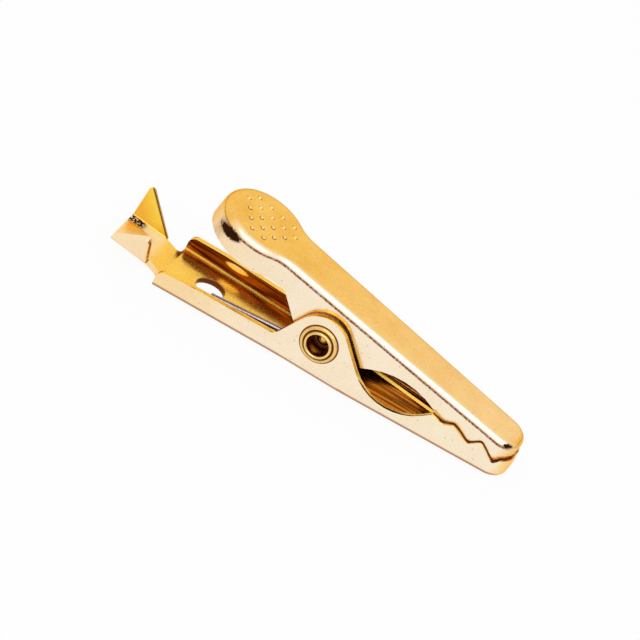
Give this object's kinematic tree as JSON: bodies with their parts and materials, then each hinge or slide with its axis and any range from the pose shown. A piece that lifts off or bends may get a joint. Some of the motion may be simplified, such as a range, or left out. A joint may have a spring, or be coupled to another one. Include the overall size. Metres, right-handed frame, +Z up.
{
  "type": "crocodile clip",
  "caption": "Small pressed brass crocodile clip: toothed jaws on a hollow rivet, closed by a torsion spring, with a thumb paddle and a crimp tail for a test lead.",
  "frame": {"origin": "under the middle of the clip's length, on the mid-plane and on the plane that the lower jaw's floor rests on", "axes": "+X from the crimp tail to the nose, +Y across the clip to the rivet's closed head, +Z up through the jaws"},
  "size_m": [0.0288, 0.006, 0.0074],
  "materials": {
    "lower_jaw": "bright plated sheet",
    "upper_jaw": "bright plated sheet",
    "rivet": "bright, slightly dulled in the bore",
    "spring": "drawn spring wire"
  },
  "bodies": {
    "base": {"lower_jaw": "lower_jaw", "rivet": "rivet", "spring": "spring"},
    "upper": {"upper_jaw": "upper_jaw"}
  },
  "joints": [
    {"name": "jaw_pivot", "type": "hinge", "parent": "base", "child": "upper", "pos_m": [0.00055, 0, 0.00255], "axis": [0, -1, 0], "range_deg": [0, 22], "stiffness_Nm_per_rad": 0.024, "springref_deg": -48.7, "deforming": ["spring"]}
  ]
}
